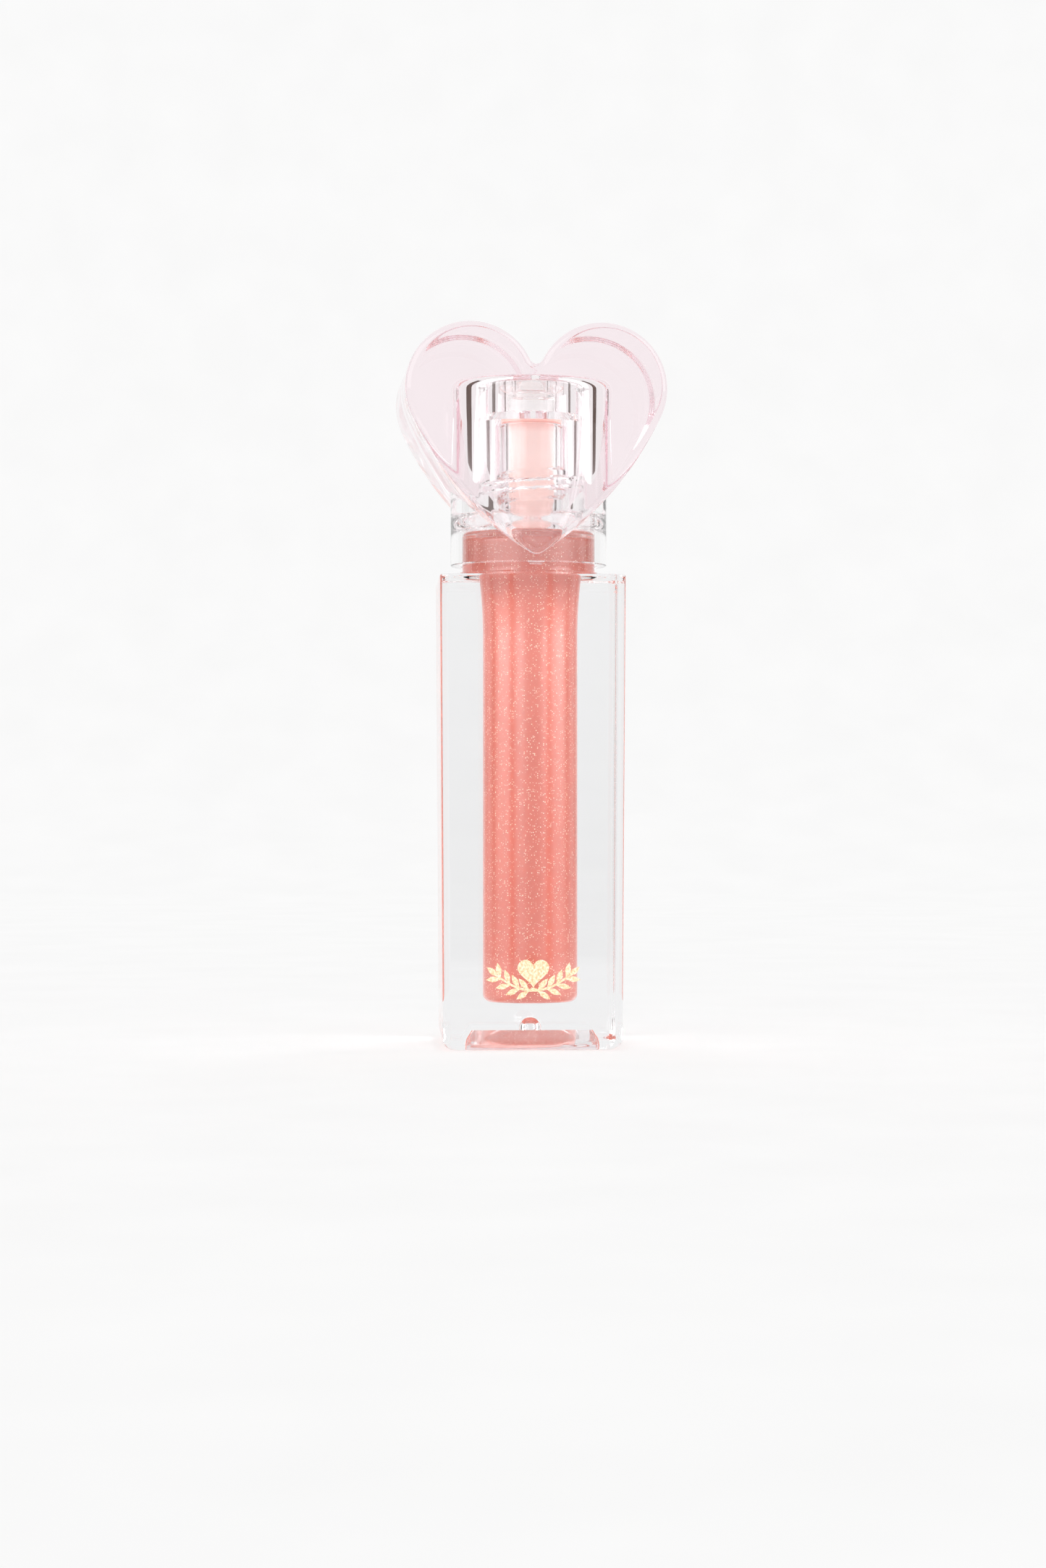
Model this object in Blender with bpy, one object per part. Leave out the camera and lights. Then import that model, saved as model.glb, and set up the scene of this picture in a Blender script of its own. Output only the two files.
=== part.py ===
"""A heart-capped lip gloss tube: a thick square bottle, its gloss, a wiper, a seal, a wand and a screw cap.

The frame is +Z up, with the origin in the middle of the base and the bottle's front face towards -Y.
Run it with: blender --background --python part.py
"""

from math import asin, atan, cos, degrees, pi, radians, sin, sqrt, tan

import bmesh
import bpy
from mathutils import Vector

MM = 0.001

# Bottle: a square block, slightly tapered, round inside
BOTTLE_WIDTH = 20.0 * MM  # across the flats at the top
BOTTLE_HEIGHT = 51.25 * MM
DRAFT = radians(0.35)
EDGE_RADIUS = 1.0 * MM
TOP_CHAMFER = 0.25 * MM
FOOT_RADIUS = 1.3 * MM
CHAMBER_RADIUS = 5.15 * MM
CHAMBER_FLARE = 0.4 * MM
FLARE_LENGTH = 6.5 * MM
FLOOR_THICKNESS = 2.8 * MM
CHAMBER_CORNER = 0.9 * MM

# Recess under the base, with the dimple of the moulding gate
RECESS_WIDTH = 15.8 * MM
RECESS_DEPTH = 2.1 * MM
RECESS_SLOPE = 1.35 * MM  # how far each wall leans in
DIMPLE_RADIUS = 1.25 * MM
DIMPLE_DEPTH = 1.1 * MM

# Neck and its thread
PLINTH_HEIGHT = 0.5 * MM
SHOULDER_RADIUS = 7.3 * MM
SHOULDER_HEIGHT = 5.1 * MM
SHOULDER_CORNER = 0.6 * MM
SHOULDER_WALL = 0.7 * MM
ROOF_CORNER = 0.45 * MM
NECK_RADIUS = 5.15 * MM
NECK_LENGTH = 11.6 * MM
NECK_BORE = 3.8 * MM
PITCH = 2.2 * MM
THREAD_HEIGHT = 0.5 * MM
THREAD_CREST = 0.5 * MM
THREAD_BASE = 1.3 * MM
NECK_TURNS = 2.0
CAP_TURNS = 1.0
THREAD_RISE = 2.1 * MM  # from the shoulder to the thread's first turn

# Screw cap and the heart round it
CAP_RADIUS = 8.6 * MM
CAP_TOP_WALL = 0.6 * MM
CAP_CORNER = 1.3 * MM
CAP_TAPER = 2.4 * MM  # height over which its skirt closes in to its threaded bore
CAP_ANGLE = radians(2.4)  # how far past square the closed cap stops
TAB_WIDTH = 2.1 * MM
TAB_DROP = 0.35 * MM
TAB_DEPTH = 0.5 * MM
HEART_DEPTH = 20.0 * MM
LOBE_RADIUS = 7.05 * MM
LOBE_SPREAD = 7.1 * MM  # from the axis to the middle of a lobe
NOTCH_RADIUS = 0.8 * MM
TIP_RADIUS = 1.3 * MM
FLANK_START = radians(25)  # where a lobe meets its flank, below level
HEART_HEIGHT = 24.95 * MM
HEART_EDGE = 0.8 * MM
HEART_BRIDGE = 1.0 * MM  # wall between the notch and the pocket

# Wiper, seal and wand
WIPER_WALL = 0.7 * MM
WIPER_LENGTH = 11.2 * MM
WIPER_CONE = 2.2 * MM
FLANGE_RADIUS = 4.9 * MM
FLANGE_THICKNESS = 0.5 * MM
SEAL_THICKNESS = 0.5 * MM
STEM_RADIUS = 1.6 * MM
HEAD_RADIUS = 3.9 * MM
HEAD_THICKNESS = 2.0 * MM
PLUG_RADIUS = 2.4 * MM
PLUG_LENGTH = 0.7 * MM
SOCKET_WALL = 0.9 * MM
SPIGOT_RADIUS = 0.9 * MM
SPIGOT_LENGTH = 4.0 * MM
TIP_LENGTH = 12.0 * MM
TIP_WIDTH = 4.0 * MM
FOOT_CLEARANCE = 2.0 * MM  # from the wand's tip to the chamber's floor

# Foil print low on the front face: a garland of leaves with a heart over its middle
FOIL_MIDDLE = 7.2 * MM
FOIL_REACH = 3.6 * MM  # from the middle to the last pair of leaves
FOIL_SAG = 1.4 * MM
FOIL_STEM = 0.26 * MM
FOIL_PAIRS = 4
LEAF_LENGTH = 1.5 * MM
LEAF_WIDTH = 0.6 * MM
LEAF_ROOT = 0.24 * MM
LEAF_LEAN = radians(42)
FOIL_HEART = 3.4 * MM
FOIL_THICKNESS = 0.1 * MM

# Clearances
SEAT_GAP = 0.1 * MM  # between flat faces that rest on each other
SLIP_GAP = 0.2 * MM  # between round faces that fit in each other
THREAD_GAP = 0.1 * MM  # between the two threads' crests
RIM_GAP = 0.95 * MM  # between the closed cap's rim and the plinth

SIDES = 40  # points round a ring, a multiple of 8
QUARTER = SIDES // 4
FACE_POINTS = 3  # points along half a flat side of a square ring
SLIM_SIDES = 24
STEPS = 4  # segments in a rounded corner

# Heights that the pieces share
recess_top = RECESS_DEPTH
chamber_floor = RECESS_DEPTH + FLOOR_THICKNESS
plinth_top = BOTTLE_HEIGHT + PLINTH_HEIGHT
shoulder_top = BOTTLE_HEIGHT + SHOULDER_HEIGHT
neck_top = shoulder_top + NECK_LENGTH
chamber_top = shoulder_top - SHOULDER_WALL
flange_bottom = neck_top + SEAT_GAP
flange_top = flange_bottom + FLANGE_THICKNESS
seal_top = flange_top + SEAT_GAP + SEAL_THICKNESS
head_bottom = seal_top + SEAT_GAP
head_top = head_bottom + HEAD_THICKNESS
plug_top = head_top + PLUG_LENGTH
cap_ceiling = plug_top + SEAT_GAP
cap_top = cap_ceiling + CAP_TOP_WALL
pocket_top = cap_top + SLIP_GAP
cap_rim = plinth_top + RIM_GAP
tip_bottom = chamber_floor + FOOT_CLEARANCE
tip_top = tip_bottom + TIP_LENGTH

# Radii that the pieces share
base_half = BOTTLE_WIDTH / 2 - BOTTLE_HEIGHT * tan(DRAFT)
crest_radius = NECK_RADIUS + THREAD_HEIGHT
cap_bore = crest_radius + THREAD_GAP + THREAD_HEIGHT
collar_bore = SHOULDER_RADIUS + SLIP_GAP
crown_bore = max(FLANGE_RADIUS, NECK_RADIUS) + SLIP_GAP
wiper_radius = NECK_BORE - SLIP_GAP / 2
wiper_orifice = TIP_WIDTH / 2 + SLIP_GAP
channel_radius = wiper_orifice + SLIP_GAP


def material(name, colour, roughness, clear=0.0, metallic=0.0):
    """A Principled material, with clear as its share of transmission."""
    made = bpy.data.materials.new(name)
    made.use_nodes = True
    shader = made.node_tree.nodes["Principled BSDF"]
    shader.inputs["Base Color"].default_value = (*colour, 1.0)
    shader.inputs["Roughness"].default_value = roughness
    shader.inputs["Metallic"].default_value = metallic
    shader.inputs["Transmission Weight"].default_value = clear
    made.diffuse_color = (*colour, 1.0)
    return made


def circle_ring(radius, z, sides=SIDES):
    """Points round the Z axis."""
    return [
        Vector((radius * cos(2 * pi * k / sides), radius * sin(2 * pi * k / sides), z))
        for k in range(sides)
    ]


def square_ring(half, corner, z):
    """Points round a square with rounded corners, as many as a circle's."""
    straight = half - corner
    arc_steps = QUARTER - 2 * FACE_POINTS
    ring = []
    for side in range(4):
        for k in range(QUARTER):
            if k < FACE_POINTS:
                x, y = half, straight * k / FACE_POINTS
            elif k <= FACE_POINTS + arc_steps:
                turn = pi / 2 * (k - FACE_POINTS) / arc_steps
                x, y = straight + corner * cos(turn), straight + corner * sin(turn)
            else:
                x, y = straight * (QUARTER - k) / FACE_POINTS, half
            a = side * pi / 2
            ring.append(Vector((x * cos(a) - y * sin(a), x * sin(a) + y * cos(a), z)))
    return ring


def arc(centre, radius, start, end, steps=STEPS):
    """(r, z) points along an arc of a turned profile, angles in degrees."""
    turns = [radians(start + (end - start) * k / steps) for k in range(steps + 1)]
    return [(centre[0] + radius * cos(t), centre[1] + radius * sin(t)) for t in turns]


def link(name, mesh, look):
    obj = bpy.data.objects.new(name, mesh)
    mesh.materials.append(look)
    bpy.context.scene.collection.objects.link(obj)
    return obj


def loft(name, rings, look, ends="capped"):
    """A closed solid through rings of equally many points: capped at both ends, or joined end to start."""
    shape = bmesh.new()
    loops = [[shape.verts.new(point) for point in ring] for ring in rings]
    pairs = list(zip(loops, loops[1:]))
    if ends == "joined":
        pairs.append((loops[-1], loops[0]))
    else:
        shape.faces.new(loops[0])
        shape.faces.new(loops[-1])
    for low, high in pairs:
        for k in range(len(low)):
            n = (k + 1) % len(low)
            shape.faces.new((low[k], low[n], high[n], high[k]))
    bmesh.ops.recalc_face_normals(shape, faces=shape.faces)
    mesh = bpy.data.meshes.new(name)
    shape.to_mesh(mesh)
    shape.free()
    mesh.shade_smooth()
    mesh.set_sharp_from_angle(angle=radians(35))
    return link(name, mesh, look)


def turned(name, profile, look, sides=SIDES, ends="capped"):
    """A solid turned round the Z axis from (r, z) points."""
    return loft(name, [circle_ring(r, z, sides) for r, z in profile], look, ends)


def combine(obj, tool, operation):
    """A Boolean of obj with a hidden tool object."""
    tool.hide_render = True
    tool.display_type = "WIRE"
    modifier = obj.modifiers.new(operation.lower() + "_" + tool.name, "BOOLEAN")
    modifier.operation = operation
    modifier.object = tool
    modifier.solver = "EXACT"


def thread(name, wall, height, outward, first, turns, look):
    """One ridge that climbs round the Z axis, sunk in its wall, and narrowing to nothing much at both ends."""
    way = 1 if outward else -1
    root = wall - way * height * 0.7
    count = round(SIDES * turns)
    rings = []
    for k in range(count + 1):
        a = 2 * pi * (k + 0.5) / SIDES
        fade = min(1.0, (min(k, count - k) + 0.7) / (SIDES / 8))
        crest = wall + way * height * fade
        z = first + PITCH * k / SIDES
        section = (
            (root, -THREAD_BASE / 2),
            (crest, -THREAD_CREST / 2),
            (crest, THREAD_CREST / 2),
            (root, THREAD_BASE / 2),
        )
        rings.append([Vector((r * cos(a), r * sin(a), z + dz)) for r, dz in section])
    return loft(name, rings, look)


def chamber_radius(z):
    """The chamber is straight, then opens on a parabola towards the top of the block."""
    climb = (z - (BOTTLE_HEIGHT - FLARE_LENGTH)) / FLARE_LENGTH
    return CHAMBER_RADIUS + CHAMBER_FLARE * min(max(climb, 0.0), 1.0) ** 2


def chamber_profile(shrink):
    """The chamber's wall from its floor to its roof and in to the neck's bore, with shrink taken off all round."""
    floor = chamber_floor + shrink
    corner = CHAMBER_CORNER - shrink
    middle = (CHAMBER_RADIUS - shrink - corner, floor + corner)
    points = arc(middle, corner, -90, 0)
    for k in range(STEPS + 1):
        z = BOTTLE_HEIGHT - FLARE_LENGTH + FLARE_LENGTH * k / STEPS
        points.append((chamber_radius(z) - shrink, z))
    corner = ROOF_CORNER - shrink
    middle = (CHAMBER_RADIUS + CHAMBER_FLARE - ROOF_CORNER, chamber_top - ROOF_CORNER)
    points += arc(middle, corner, 0, 90)
    points.append((NECK_BORE - shrink, chamber_top - shrink))
    return points


def make_bottle(look):
    half = BOTTLE_WIDTH / 2
    recess_half = RECESS_WIDTH / 2
    rings = [
        *(
            circle_ring(DIMPLE_RADIUS * cos(t), recess_top + DIMPLE_DEPTH * sin(t))
            for t in (radians(75), radians(50), radians(25), 0.0)
        ),
        square_ring(recess_half - RECESS_SLOPE, EDGE_RADIUS, recess_top),
        square_ring(recess_half, EDGE_RADIUS, 0.0),
    ]
    for inset, z in arc((FOOT_RADIUS, FOOT_RADIUS), FOOT_RADIUS, -90, -180):
        rings.append(square_ring(base_half + z * tan(DRAFT) - inset, EDGE_RADIUS, z))
    chamfer_foot = BOTTLE_HEIGHT - TOP_CHAMFER
    rings.append(square_ring(half, EDGE_RADIUS, chamfer_foot))
    rings.append(square_ring(half - TOP_CHAMFER, EDGE_RADIUS, BOTTLE_HEIGHT))
    corner = (SHOULDER_RADIUS - SHOULDER_CORNER, shoulder_top - SHOULDER_CORNER)
    outside = [
        (CAP_RADIUS, BOTTLE_HEIGHT),
        (CAP_RADIUS, plinth_top),
        (SHOULDER_RADIUS, plinth_top),
        *arc(corner, SHOULDER_CORNER, 0, 90),
        (NECK_RADIUS, shoulder_top),
        (NECK_RADIUS, neck_top - TOP_CHAMFER),
        (NECK_RADIUS - TOP_CHAMFER, neck_top),
    ]
    inside = [(NECK_BORE, neck_top), *chamber_profile(0.0)[::-1]]
    rings += [circle_ring(r, z) for r, z in outside + inside]
    bottle = loft("bottle", rings, look)
    first = shoulder_top + THREAD_RISE
    ridge = thread("neck_ridge", NECK_RADIUS, THREAD_HEIGHT, True, first, NECK_TURNS, look)
    combine(bottle, ridge, "UNION")
    return bottle


def make_gloss(look):
    """The liquid: it fills the chamber and the foot of the neck, and leaves the wand its own channel."""
    top = shoulder_top + SLIP_GAP
    outside = chamber_profile(SLIP_GAP)
    outside.append((outside[-1][0], top))
    channel_floor = tip_bottom - 2 * SLIP_GAP
    channel = [(channel_radius, top), (channel_radius, channel_floor)]
    return turned("gloss_fill", outside + channel, look, SLIM_SIDES)


def make_wiper(look):
    """A soft sleeve in the neck: a flange on the rim, and a cone that wipes the wand at the bottom."""
    bottom = flange_top - WIPER_LENGTH
    inner = wiper_radius - WIPER_WALL
    profile = [
        (inner, flange_top),
        (FLANGE_RADIUS, flange_top),
        (FLANGE_RADIUS, flange_bottom),
        (wiper_radius, flange_bottom),
        (wiper_radius, bottom + WIPER_CONE),
        (wiper_orifice + WIPER_WALL / 2, bottom),
        (wiper_orifice, bottom),
        (wiper_orifice, bottom + WIPER_WALL / 2),
        (inner, bottom + WIPER_CONE + WIPER_WALL / 2),
    ]
    return turned("wiper", profile, look, SLIM_SIDES, "joined")


def make_seal(look):
    """A flat washer between the wiper's flange and the wand's head. The flocked tip is too wide to pass it."""
    bottom = flange_top + SEAT_GAP
    inner = STEM_RADIUS + SLIP_GAP
    outer = NECK_RADIUS - SLIP_GAP
    profile = [(inner, bottom), (outer, bottom), (outer, seal_top), (inner, seal_top)]
    return turned("seal_washer", profile, look, SLIM_SIDES, "joined")


def make_wand(look):
    profile = [
        (PLUG_RADIUS, plug_top),
        (PLUG_RADIUS, head_top),
        (HEAD_RADIUS, head_top),
        (HEAD_RADIUS, head_bottom),
        (STEM_RADIUS, head_bottom),
        (STEM_RADIUS, tip_top + SEAT_GAP),
        (SPIGOT_RADIUS, tip_top + SEAT_GAP),
        (SPIGOT_RADIUS, tip_top - SPIGOT_LENGTH),
    ]
    return turned("wand_stem", profile, look, SLIM_SIDES)


def make_tip(look):
    """The doe foot: a round-ended plug with one slanted flat, and a socket for the stem's spigot."""
    half = TIP_WIDTH / 2
    outline = [(STEM_RADIUS, tip_top), (half, tip_top - half)]
    outline += [(half, tip_bottom + half)]
    outline += arc((0.0, tip_bottom + half), half, 0, -75, 5)[1:]
    slant_top = tip_bottom + TIP_LENGTH * 0.6
    rings = []
    for r, z in outline:
        ring = circle_ring(r, z, SLIM_SIDES)
        flat = -half + max(0.0, slant_top - z) * tan(radians(18))
        for point in ring:
            point.y = max(point.y, min(flat, r * 0.5))
        rings.append(ring)
    socket = SPIGOT_RADIUS + SLIP_GAP / 2
    socket_floor = tip_top - SPIGOT_LENGTH - SLIP_GAP
    inside = [circle_ring(socket, z, SLIM_SIDES) for z in (socket_floor, tip_top)]
    return loft("applicator_tip", inside + rings, look)


def make_cap(look):
    corner = (CAP_RADIUS - CAP_CORNER, cap_top - CAP_CORNER)
    socket = PLUG_RADIUS + SLIP_GAP
    lip = head_top + SLIP_GAP
    crown_foot = neck_top + SLIP_GAP
    taper = []
    for k in range(7):
        t = k / 6
        close = t * t * (3 - 2 * t)
        taper.append((collar_bore - (collar_bore - cap_bore) * close, shoulder_top - SLIP_GAP + CAP_TAPER * t))
    profile = [
        *arc(corner, CAP_CORNER, 90, 0),
        (CAP_RADIUS, cap_rim),
        (collar_bore, cap_rim),
        *taper,
        (cap_bore, crown_foot),
        (crown_bore, crown_foot + (cap_bore - crown_bore)),
        (crown_bore, cap_ceiling),
        (socket + SOCKET_WALL, cap_ceiling),
        (socket + SOCKET_WALL, lip),
        (socket, lip),
        (socket, cap_ceiling),
    ]
    cap = turned("inner_cap", profile, look)
    first = shoulder_top + THREAD_RISE + PITCH / 2
    ridge = thread("cap_ridge", cap_bore, THREAD_HEIGHT, False, first, CAP_TURNS, look)
    combine(cap, ridge, "UNION")
    combine(cap, make_tab(look), "UNION")
    return cap


def make_tab(look):
    """The small tab under the cap's rim, at the front, that marks where the heart faces forward."""
    front = -CAP_RADIUS + SLIP_GAP / 2
    section = ((-TAB_WIDTH / 2, TAB_DROP), (TAB_WIDTH / 2, TAB_DROP))
    section += ((TAB_WIDTH / 2 - TAB_DROP, -TAB_DROP), (TAB_DROP - TAB_WIDTH / 2, -TAB_DROP))
    rings = [
        [Vector((x, y, cap_rim + z)) for x, z in section] for y in (front, front + TAB_DEPTH)
    ]
    return loft("rim_tab", rings, look)


def heart_arcs():
    """The right half of the heart, from its tip to its notch, as arcs of (centre, radius, start, end).

    The flank's radius follows from the heart's height: its arc touches the lobe at FLANK_START and the tip's round
    inside, so the distance from its centre to the tip's centre is its radius less the tip's."""
    lobe_z = pocket_top + HEART_BRIDGE - notch_rise()
    rise = HEART_HEIGHT - LOBE_RADIUS - TIP_RADIUS
    c, s = cos(FLANK_START), sin(FLANK_START)
    spare = LOBE_RADIUS - TIP_RADIUS
    reach = LOBE_SPREAD**2 + rise**2 - spare**2
    shift = reach / (2 * (LOBE_SPREAD * c - rise * s + spare))
    flank = (LOBE_SPREAD - shift * c, lobe_z + shift * s)
    tip = (0.0, lobe_z - rise)
    meet = asin((flank[0] - tip[0]) / (LOBE_RADIUS + shift - TIP_RADIUS))
    notch_centre = (0.0, lobe_z + notch_rise() + NOTCH_RADIUS)
    notch_turn = asin(LOBE_SPREAD / (LOBE_RADIUS + NOTCH_RADIUS))
    return [
        (tip, TIP_RADIUS, -pi / 2, -pi / 2 - meet, 3),
        (flank, LOBE_RADIUS + shift, -pi / 2 - meet, -FLANK_START, 9),
        ((LOBE_SPREAD, lobe_z), LOBE_RADIUS, -FLANK_START, pi / 2 + notch_turn, 18),
        (notch_centre, NOTCH_RADIUS, -pi / 2 + notch_turn, -pi / 2, 3),
    ]


def notch_rise():
    """How far the notch's lowest point lies above the lobes' centres."""
    between = LOBE_RADIUS + NOTCH_RADIUS
    return sqrt(between**2 - LOBE_SPREAD**2) - NOTCH_RADIUS


def heart_outline(inset):
    """(x, z) points round the heart, with inset taken off all round."""
    half = []
    arcs = heart_arcs()
    for centre, radius, start, end, steps in arcs:
        hollow = centre == arcs[-1][0]
        r = radius + inset if hollow else radius - inset
        for k in range(steps + (centre == arcs[-1][0])):
            t = start + (end - start) * k / steps
            half.append((centre[0] + r * cos(t), centre[1] + r * sin(t)))
    return half + [(-x, z) for x, z in half[-2:0:-1]]


def make_heart(look):
    """A solid heart with rounded front and back edges, and a round pocket from below for the screw cap."""
    rings = []
    turns = [pi / 2 * k / 3 for k in range(4)]
    edge = [(HEART_EDGE * (1 - cos(t)), HEART_EDGE * (1 - sin(t))) for t in turns]
    for side in (-1, 1):
        for inset, back in edge[::side]:
            y = side * (HEART_DEPTH / 2 - back)
            rings.append([Vector((x, y, z)) for x, z in heart_outline(inset)])
    heart = loft("heart_cap", rings, look)
    pocket_radius = CAP_RADIUS + SLIP_GAP
    corner = (pocket_radius - CAP_CORNER, pocket_top - CAP_CORNER)
    below = BOTTLE_HEIGHT - HEART_HEIGHT
    profile = [*arc(corner, CAP_CORNER, 90, 0), (pocket_radius, below)]
    combine(heart, turned("pocket", profile, look), "DIFFERENCE")
    return heart


def leaf(near, far, lean):
    """A pointed leaf between two points on the edge of the stem, with its outline in the order from near to far."""
    foot = (near + far) / 2
    along = Vector((cos(lean), sin(lean)))
    across = Vector((-along.y, along.x))
    if across.dot(far - near) < 0:
        across = -across
    sides = ((-0.9, 0.25), (-1.0, 0.45), (-0.65, 0.75), (0.0, 1.0), (0.65, 0.75), (1.0, 0.45), (0.9, 0.25))
    points = [foot + across * side * LEAF_WIDTH / 2 + along * way * LEAF_LENGTH for side, way in sides]
    return [near, *points, far]


def small_heart(foot):
    """A heart on its point, from its right side round to its left."""
    scale = FOIL_HEART / 32
    points = []
    for k in range(19):
        t = (pi - 0.25) * (1 - k / 9)
        x = 16 * sin(t) ** 3
        z = 13 * cos(t) - 5 * cos(2 * t) - 2 * cos(3 * t) - cos(4 * t) + 18
        points.append(foot + Vector((x, z)) * scale)
    return points


def foil_outline():
    """The garland: leaves lean outward in pairs above and below a sagging stem, with a leaf at each end."""
    spots = [FOIL_REACH * (k + 0.6) / (FOIL_PAIRS - 0.4) for k in range(FOIL_PAIRS)]
    end = FOIL_REACH + LEAF_ROOT

    def stem(x, side):
        sag = FOIL_SAG * ((x / FOIL_REACH) ** 2 - 0.5)
        return Vector((x, FOIL_MIDDLE + sag + side * FOIL_STEM / 2))

    def ahead(x):
        return atan(2 * FOIL_SAG * x / FOIL_REACH**2)

    lower, upper = [], []
    for x in spots:
        lower += leaf(stem(x - LEAF_ROOT / 2, -1), stem(x + LEAF_ROOT / 2, -1), ahead(x) - LEAF_LEAN)
        upper = leaf(stem(x + LEAF_ROOT / 2, 1), stem(x - LEAF_ROOT / 2, 1), ahead(x) + LEAF_LEAN) + upper
    right = lower + leaf(stem(end, -1), stem(end, 1), ahead(end)) + upper
    left = [Vector((-point.x, point.y)) for point in reversed(right)]
    return right + small_heart(stem(0.0, 1)) + left


def make_foil(look):
    """A thin skin just off the front face, leaning with the bottle's draft."""
    rings = []
    for off in (SEAT_GAP, SEAT_GAP + FOIL_THICKNESS):
        ring = []
        for x, z in foil_outline():
            ring.append(Vector((x, -(base_half + z * tan(DRAFT)) - off, z)))
        rings.append(ring)
    return loft("foil_print", rings, look)


def clear_scene():
    for obj in list(bpy.data.objects):
        bpy.data.objects.remove(obj)


def main():
    clear_scene()
    clear = material("clear_plastic", (0.95, 0.96, 0.96), 0.03, 1.0)
    pink = material("pink_acrylic", (0.95, 0.80, 0.83), 0.03, 1.0)
    coral = material("coral_gloss", (0.87, 0.36, 0.31), 0.25)
    milky = material("milky_plastic", (0.93, 0.80, 0.77), 0.4)
    flock = material("white_flock", (0.93, 0.87, 0.84), 0.9)
    gold = material("gold_foil", (0.86, 0.70, 0.44), 0.3, metallic=1.0)
    make_bottle(clear)
    make_foil(gold)
    make_gloss(coral)
    make_wiper(milky)
    make_seal(milky)
    make_wand(clear)
    make_tip(flock)
    turn = bpy.data.objects.new("closed_angle", None)
    turn.rotation_euler.z = CAP_ANGLE
    bpy.context.scene.collection.objects.link(turn)
    for piece in (make_cap(clear), make_heart(pink)):
        piece.parent = turn


main()
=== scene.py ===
"""A heart-capped lip gloss tube: its looks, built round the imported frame.

The sections follow the tube as it is put together: bottle, foil, gloss, wiper, seal, wand, tip, cap, heart,
then the studio. Sizes are in metres, and the frame is +Z up, with the front towards -Y.
"""

import math

import bpy
import numpy as np
from mathutils import Matrix, Vector


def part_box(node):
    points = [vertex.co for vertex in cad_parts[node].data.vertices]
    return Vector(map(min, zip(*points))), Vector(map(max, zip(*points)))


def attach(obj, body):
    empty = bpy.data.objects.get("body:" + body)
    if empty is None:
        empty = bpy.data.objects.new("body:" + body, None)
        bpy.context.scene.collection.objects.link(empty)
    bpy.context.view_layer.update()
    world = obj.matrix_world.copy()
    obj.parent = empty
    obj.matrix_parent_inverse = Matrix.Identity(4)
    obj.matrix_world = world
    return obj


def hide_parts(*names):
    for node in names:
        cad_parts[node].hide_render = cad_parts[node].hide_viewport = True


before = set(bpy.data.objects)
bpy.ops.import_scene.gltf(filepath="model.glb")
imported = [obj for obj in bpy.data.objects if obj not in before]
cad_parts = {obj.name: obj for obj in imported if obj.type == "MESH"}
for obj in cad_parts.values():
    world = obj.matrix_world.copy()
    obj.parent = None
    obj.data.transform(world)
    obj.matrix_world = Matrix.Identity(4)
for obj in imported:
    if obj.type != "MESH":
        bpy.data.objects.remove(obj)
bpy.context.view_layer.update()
MM = 0.001

# Bottle: one thick clear plastic moulding, square outside and round inside, with a recess and a gate dimple
# under its base. Its plinth, shoulder and threaded neck are part of the same shot. It is polished all over.
BOTTLE_HALF = 10.0 * MM
BOTTLE_HEIGHT = 51.25 * MM
DRAFT = math.tan(math.radians(0.35))
BASE_HALF = BOTTLE_HALF - BOTTLE_HEIGHT * DRAFT
EDGE = 1.0 * MM
FOOT = 1.3 * MM
RECESS_HALF = 7.9 * MM
RECESS_LEAN = 1.35 * MM
RECESS_TOP = 2.1 * MM
RECESS_CORNER = 0.25 * MM
DIMPLE = 1.25 * MM
DIMPLE_RISE = 1.1 * MM
TOP_ROUND = 0.25 * MM
PLINTH = 8.6 * MM
PLINTH_TOP = BOTTLE_HEIGHT + 0.5 * MM
PLINTH_ROUND = 0.15 * MM
SHOULDER = 7.3 * MM
SHOULDER_TOP = BOTTLE_HEIGHT + 5.1 * MM
SHOULDER_ROUND = 0.6 * MM
NECK = 5.15 * MM
NECK_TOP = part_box("bottle")[1].z
LIP_ROUND = 0.25 * MM
BORE = 3.8 * MM
CHAMBER = 5.15 * MM
FLARE = 0.4 * MM
FLARE_FOOT = BOTTLE_HEIGHT - 6.5 * MM
CHAMBER_FLOOR = 4.9 * MM
CHAMBER_CORNER = 0.9 * MM
CHAMBER_ROOF = SHOULDER_TOP - 0.7 * MM
ROOF_CORNER = 0.45 * MM
PITCH = 2.2 * MM
RIDGE = 0.5 * MM
RIDGE_FOOT = 1.3 * MM
RIDGE_CREST = 0.5 * MM
RIDGE_START = SHOULDER_TOP + 2.1 * MM
RIDGE_STEP = 0.1 * MM
NECK_TURNS = 2.0
AROUND = 256


def round_ring(radius, z, around=AROUND):
    """A circle about the tube's axis, where radius may vary round it: x = r cos a, y = r sin a."""
    a = 2 * np.pi * np.arange(around) / around
    return np.stack([radius * np.cos(a), radius * np.sin(a), np.full(around, float(z))], axis=1)


def square_ring(half, corner, z, around=AROUND):
    """A square with rounded corners, in as many points as a circle: straight, the corner's arc, straight."""
    quarter = around // 4
    arc = quarter // 2
    run = (quarter - arc) // 2
    k = np.arange(quarter)
    straight = half - corner
    turn = np.pi / 2 * np.clip((k - run) / arc, 0, 1)
    x = straight + corner * np.cos(turn)
    y = straight + corner * np.sin(turn)
    y = np.where(k < run, straight * k / run, y)
    x = np.where(k > run + arc, straight * (quarter - k) / run, x)
    sides = []
    for side in range(4):
        c, s = math.cos(side * np.pi / 2), math.sin(side * np.pi / 2)
        sides.append(np.stack([x * c - y * s, x * s + y * c, np.full(quarter, float(z))], axis=1))
    return np.concatenate(sides)


def arc_points(centre, radius, start, end, steps):
    """(r, z) along an arc of a turned profile, angles in degrees from level."""
    t = np.radians(np.linspace(start, end, steps + 1))
    return np.stack([centre[0] + radius * np.cos(t), centre[1] + radius * np.sin(t)], axis=1)


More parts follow.
